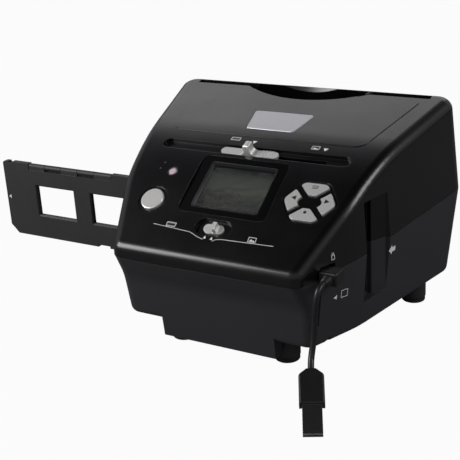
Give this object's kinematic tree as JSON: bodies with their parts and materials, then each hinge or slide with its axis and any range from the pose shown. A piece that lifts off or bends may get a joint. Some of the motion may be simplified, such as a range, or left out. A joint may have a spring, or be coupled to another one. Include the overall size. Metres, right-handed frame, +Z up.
{
  "type": "film negative scanner",
  "caption": "Desktop film and photo scanner with a display, control keys, a hinged film holder passing through its sides, a photo slot on top and a plugged-in lead.",
  "frame": {"origin": "on the table under the casing, on its plane of symmetry, between the feet", "axes": "+X to the machine's right seen from the front, +Y from the front lip to the rear, +Z up"},
  "size_m": [0.3369, 0.2267, 0.1532],
  "materials": {
    "casing": "gloss black moulding with a fine satin texture",
    "foot_rubber": "matt black rubber",
    "screw_steel": "blackened steel",
    "badge_silver": "silver, satin",
    "display_frame": "gloss black",
    "display_glass": "clear window",
    "display_panel": "dark grey-green picture face",
    "silver_plastic": "silver painted plastic",
    "board_green": "solder resist on glass fibre",
    "lamp_plastic": "frosted clear plastic",
    "inner_black": "matt black moulding",
    "diffuser": "white opal plastic",
    "rod_steel": "ground steel",
    "holder_black": "fine textured black moulding",
    "plug_metal": "nickel-plated steel",
    "cable_vinyl": "black vinyl"
  },
  "bodies": {
    "casing": {"upper_shell": "casing", "lower_shell": "casing", "case_screws": "screw_steel", "badge_plate": "badge_silver", "foot_front_left": "foot_rubber", "foot_front_right": "foot_rubber", "foot_rear_left": "foot_rubber", "foot_rear_right": "foot_rubber", "display_frame": "display_frame", "display_glass": "display_glass", "display_panel": "display_panel", "scan_board": "board_green", "lamp_lens": "lamp_plastic", "lamp_ring": "silver_plastic", "key_board": "board_green", "switch_body": "inner_black", "guide_rod_upper": "rod_steel", "guide_rod_lower": "rod_steel", "film_gate_front": "inner_black", "film_gate_rear": "inner_black", "lens_barrel": "inner_black", "camera_board": "board_green", "camera_bracket": "inner_black", "main_board": "board_green", "port_board": "board_green", "usb_socket": "plug_metal", "card_socket": "plug_metal", "photo_rail_left": "inner_black", "photo_rail_right": "inner_black", "light_bar_left": "diffuser", "light_bar_right": "diffuser", "usb_plug": "cable_vinyl", "usb_plug_tip": "plug_metal", "plug_boot": "cable_vinyl", "lead_cable": "cable_vinyl", "lead_plug": "cable_vinyl", "lead_plug_shell": "plug_metal"},
    "film_holder": {"holder_front_leaf": "holder_black", "holder_rear_leaf": "holder_black", "holder_hinge_pin": "rod_steel"},
    "mode_slider": {"slider_knob": "silver_plastic", "backlight_carriage": "inner_black", "backlight_diffuser": "diffuser"},
    "function_switch": {"function_knob": "silver_plastic"},
    "scan_key": {"scan_button": "silver_plastic"},
    "up_key": {"key_up": "silver_plastic"},
    "down_key": {"key_down": "silver_plastic"},
    "left_key": {"key_left": "silver_plastic"},
    "right_key": {"key_right": "silver_plastic"}
  },
  "joints": [
    {"name": "film_holder_slide", "type": "slide", "parent": "casing", "child": "film_holder", "axis": [1, 0, 0], "range_m": [-0.12, 0.173]},
    {"name": "mode_slider_slide", "type": "slide", "parent": "casing", "child": "mode_slider", "axis": [1, 0, 0], "range_m": [0, 0.0528]},
    {"name": "function_switch_slide", "type": "slide", "parent": "casing", "child": "function_switch", "axis": [1, 0, 0], "range_m": [-0.004, 0]},
    {"name": "scan_button_press", "type": "slide", "parent": "casing", "child": "scan_key", "axis": [0, 0.592, -0.8059], "range_m": [0, 0.0012], "stiffness_N_per_m": 400},
    {"name": "key_up_press", "type": "slide", "parent": "casing", "child": "up_key", "axis": [0, 0.569, -0.8223], "range_m": [0, 0.0008], "stiffness_N_per_m": 400},
    {"name": "key_down_press", "type": "slide", "parent": "casing", "child": "down_key", "axis": [0, 0.569, -0.8223], "range_m": [0, 0.0008], "stiffness_N_per_m": 400},
    {"name": "key_left_press", "type": "slide", "parent": "casing", "child": "left_key", "axis": [0, 0.569, -0.8223], "range_m": [0, 0.0008], "stiffness_N_per_m": 400},
    {"name": "key_right_press", "type": "slide", "parent": "casing", "child": "right_key", "axis": [0, 0.569, -0.8223], "range_m": [0, 0.0008], "stiffness_N_per_m": 400}
  ]
}
